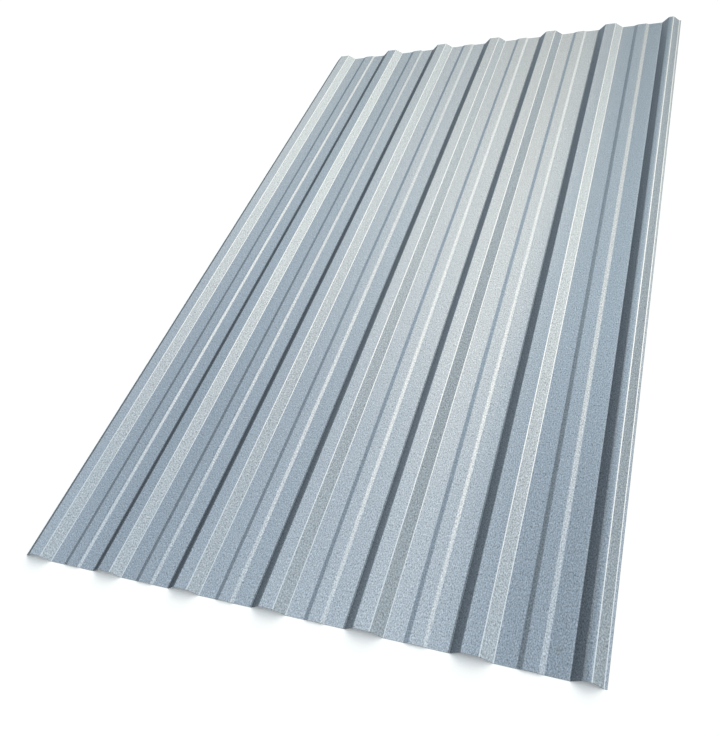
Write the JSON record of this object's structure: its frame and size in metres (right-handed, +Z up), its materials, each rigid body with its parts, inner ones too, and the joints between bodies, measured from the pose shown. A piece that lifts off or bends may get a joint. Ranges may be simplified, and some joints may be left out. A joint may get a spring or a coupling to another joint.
{
  "type": "corrugated metal sheet",
  "caption": "Flat trapezoidal roofing and cladding sheet of zinc-coated steel, with raised ribs, stiffened pans and lap ribs along both long edges.",
  "frame": {"origin": "on the floor, under the middle of the sheet's outline", "axes": "+X across the ribs, towards the narrow underlap rib; +Y along the ribs; +Z up, out of the upper face"},
  "size_m": [1.1526, 2, 0.016],
  "materials": {
    "zinc_coated_steel": "hot-dip zinc-coated steel on both faces, skin-passed to a soft bluish silver sheen, with a fine even spangle"
  },
  "bodies": {
    "root": {"corrugated_sheet": "zinc_coated_steel"}
  },
  "joints": []
}
